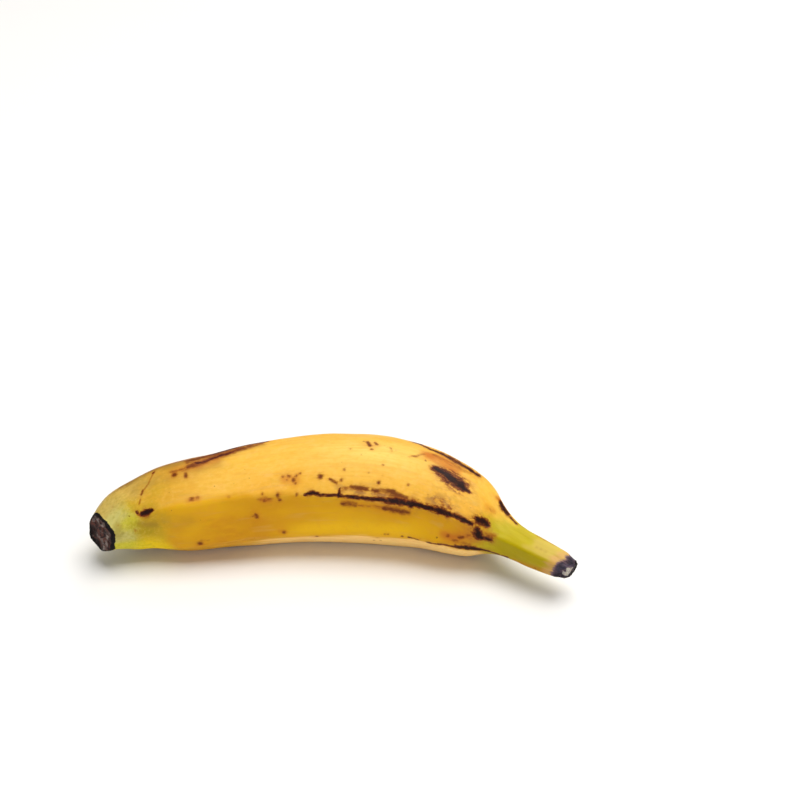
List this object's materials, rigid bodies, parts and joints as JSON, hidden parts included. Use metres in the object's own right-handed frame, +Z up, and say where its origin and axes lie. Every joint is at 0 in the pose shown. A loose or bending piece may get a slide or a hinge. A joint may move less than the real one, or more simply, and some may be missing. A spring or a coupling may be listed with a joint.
{
  "type": "banana",
  "caption": "Whole ripe cooking banana lying on its side: curved, softly ridged fruit with a cut stem and a dark withered blossom end.",
  "frame": {"origin": "centre of the bounding box in plan, on the surface that the fruit lies on", "axes": "+X along the fruit from the blossom end to the stem end, +Y towards the convex back, +Z up from the surface"},
  "size_m": [0.2304, 0.0827, 0.0505],
  "materials": {
    "peel": "satin"
  },
  "bodies": {
    "root": {"banana": "peel"}
  },
  "joints": []
}
